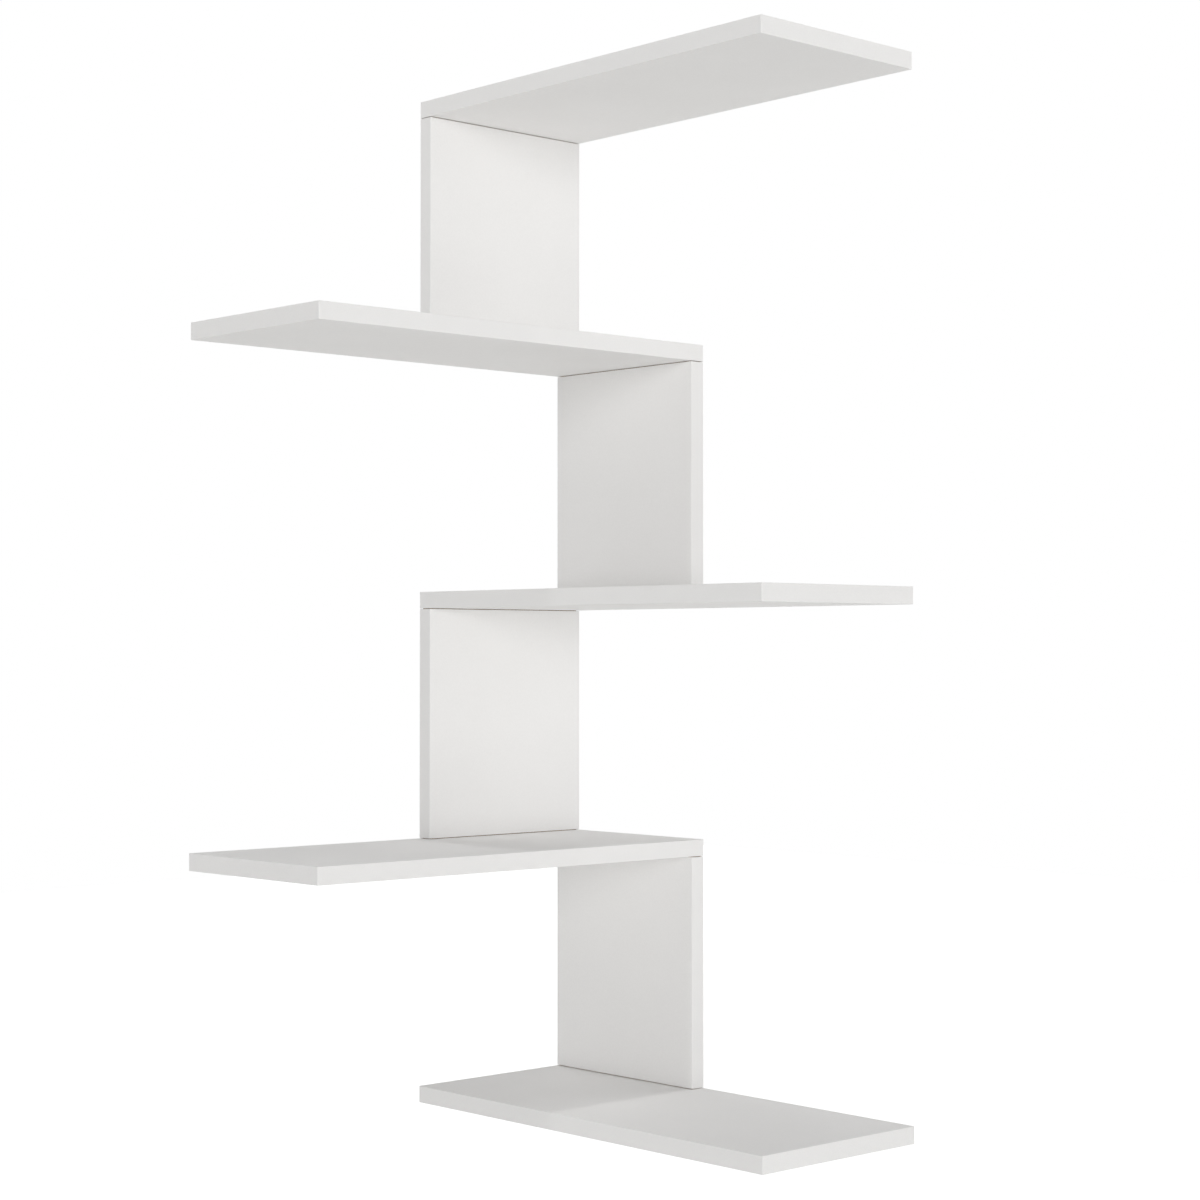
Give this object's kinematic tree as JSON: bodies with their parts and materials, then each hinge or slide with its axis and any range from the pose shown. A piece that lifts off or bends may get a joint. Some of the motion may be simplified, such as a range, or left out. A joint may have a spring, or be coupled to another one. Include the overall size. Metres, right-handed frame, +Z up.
{
  "type": "corner wall shelf",
  "caption": "White zigzag corner wall shelf: flat shelves step up two walls, joined by short uprights on alternate walls.",
  "frame": {"origin": "the corner of the two walls, at the underside of the lowest shelf", "axes": "+X along the right wall away from the corner, -Y along the left wall away from the corner, +Z up; the room is at +X, -Y"},
  "size_m": [0.518, 0.518, 1.098],
  "materials": {
    "white_board": "matt white melamine with a faint fine grain, edges banded to match",
    "zinc_casting": "dull die-cast zinc",
    "plated_steel": "bright zinc plating",
    "beech": "bare turned beech"
  },
  "bodies": {
    "root": {"shelf_1": "white_board", "shelf_2": "white_board", "shelf_3": "white_board", "shelf_4": "white_board", "shelf_5": "white_board", "upright_1": "white_board", "hanger_1": "plated_steel", "cam_1_head_corner": "zinc_casting", "bolt_1_head_corner": "plated_steel", "cam_1_head_front": "zinc_casting", "bolt_1_head_front": "plated_steel", "dowel_1_head": "beech", "cam_1_foot_corner": "zinc_casting", "bolt_1_foot_corner": "plated_steel", "cam_1_foot_front": "zinc_casting", "bolt_1_foot_front": "plated_steel", "dowel_1_foot": "beech", "upright_2": "white_board", "hanger_2": "plated_steel", "cam_2_head_corner": "zinc_casting", "bolt_2_head_corner": "plated_steel", "cam_2_head_front": "zinc_casting", "bolt_2_head_front": "plated_steel", "dowel_2_head": "beech", "cam_2_foot_corner": "zinc_casting", "bolt_2_foot_corner": "plated_steel", "cam_2_foot_front": "zinc_casting", "bolt_2_foot_front": "plated_steel", "dowel_2_foot": "beech", "upright_3": "white_board", "hanger_3": "plated_steel", "cam_3_head_corner": "zinc_casting", "bolt_3_head_corner": "plated_steel", "cam_3_head_front": "zinc_casting", "bolt_3_head_front": "plated_steel", "dowel_3_head": "beech", "cam_3_foot_corner": "zinc_casting", "bolt_3_foot_corner": "plated_steel", "cam_3_foot_front": "zinc_casting", "bolt_3_foot_front": "plated_steel", "dowel_3_foot": "beech", "upright_4": "white_board", "hanger_4": "plated_steel", "cam_4_head_corner": "zinc_casting", "bolt_4_head_corner": "plated_steel", "cam_4_head_front": "zinc_casting", "bolt_4_head_front": "plated_steel", "dowel_4_head": "beech", "cam_4_foot_corner": "zinc_casting", "bolt_4_foot_corner": "plated_steel", "cam_4_foot_front": "zinc_casting", "bolt_4_foot_front": "plated_steel", "dowel_4_foot": "beech"}
  },
  "joints": []
}
